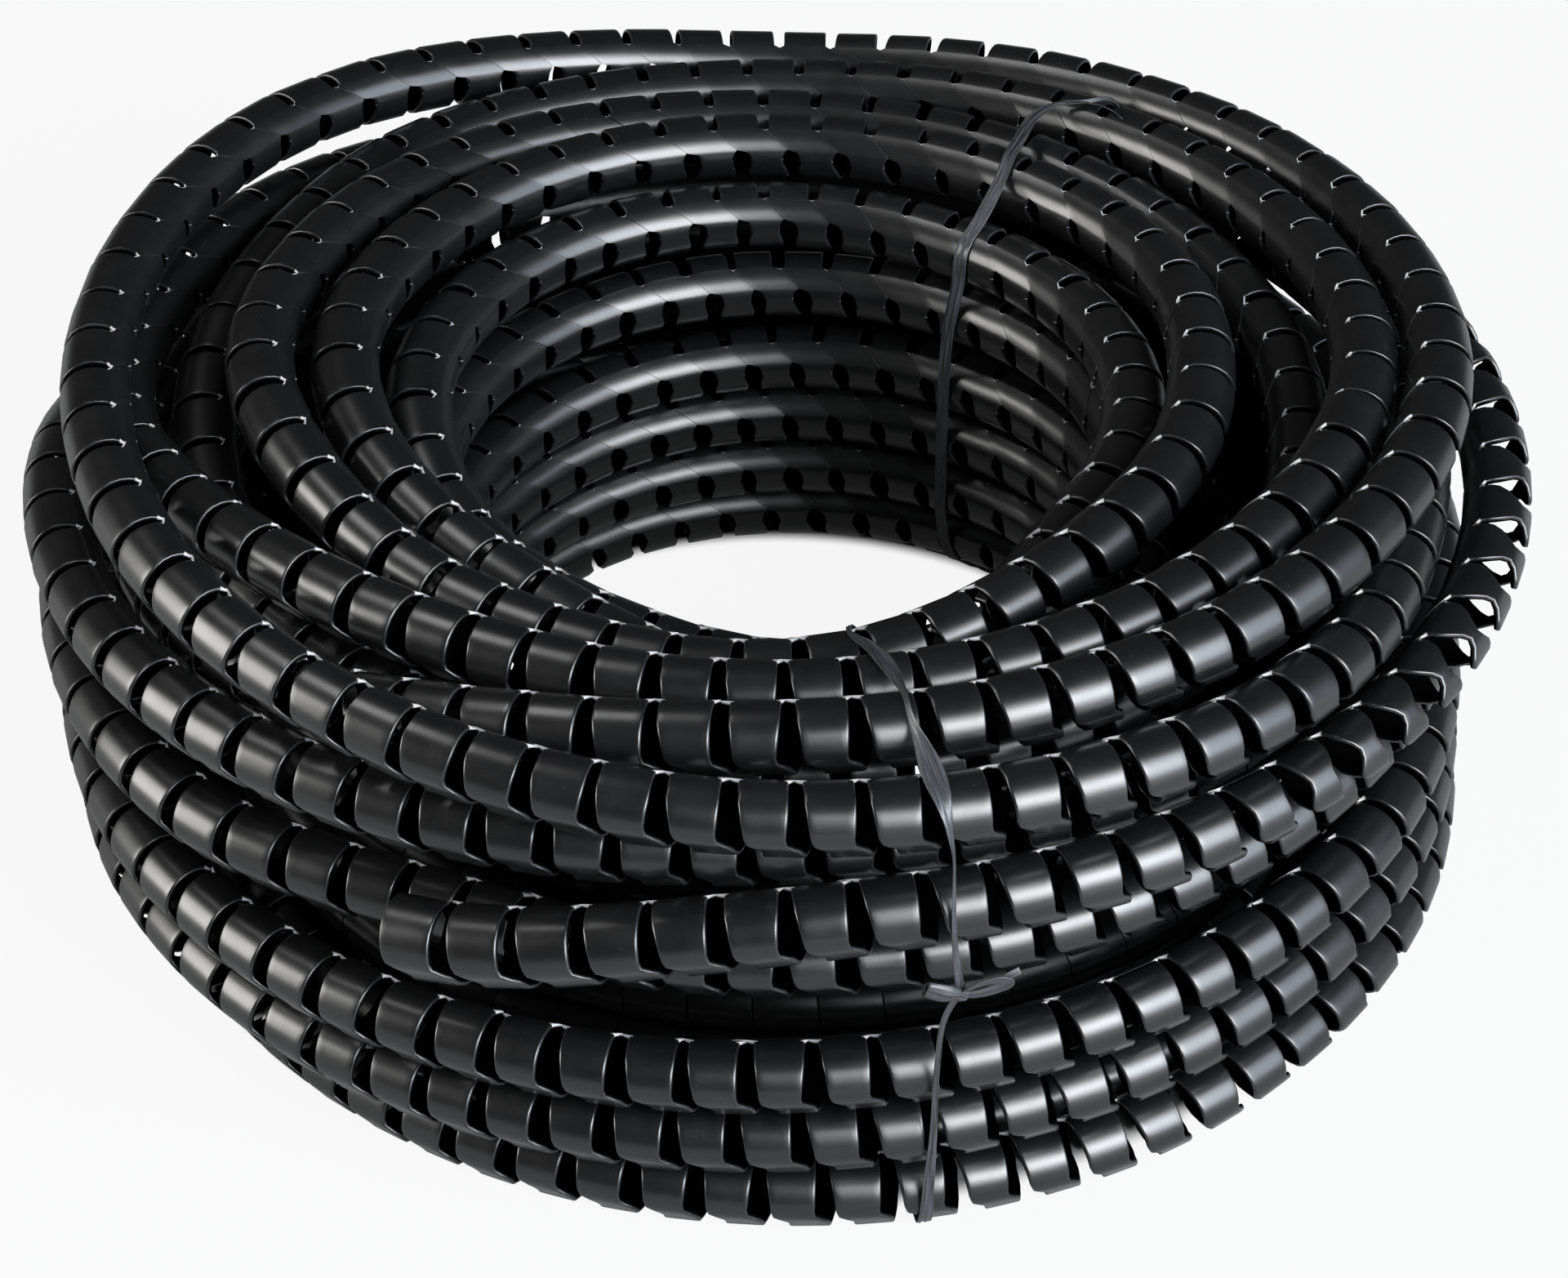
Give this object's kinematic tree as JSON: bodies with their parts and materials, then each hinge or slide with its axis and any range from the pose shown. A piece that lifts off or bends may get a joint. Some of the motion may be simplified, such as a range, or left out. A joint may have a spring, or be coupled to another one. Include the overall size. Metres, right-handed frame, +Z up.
{
  "type": "coiled spiral-wrap hose guard",
  "caption": "Coil of black spiral-wrap sleeve for guarding hoses and cables, held by two ribbon ties, with one free end at the front.",
  "frame": {"origin": "centre of the coil's box, at the surface that the coil stands on", "axes": "+Z up, along the axis of the coil; -Y towards the front, where the sleeve's free end lies, its mouth towards -X"},
  "size_m": [0.4404, 0.4306, 0.1705],
  "materials": {
    "sleeve": "satin",
    "tie": "satin"
  },
  "bodies": {
    "root": {"sleeve_turns": "sleeve", "sleeve_inner_turns": "sleeve", "sleeve_free_end": "sleeve", "tie_front_band": "tie", "tie_front_knot": "tie", "tie_front_tail": "tie", "tie_front_bow": "tie", "tie_back_band": "tie", "tie_back_fold": "tie"}
  },
  "joints": []
}
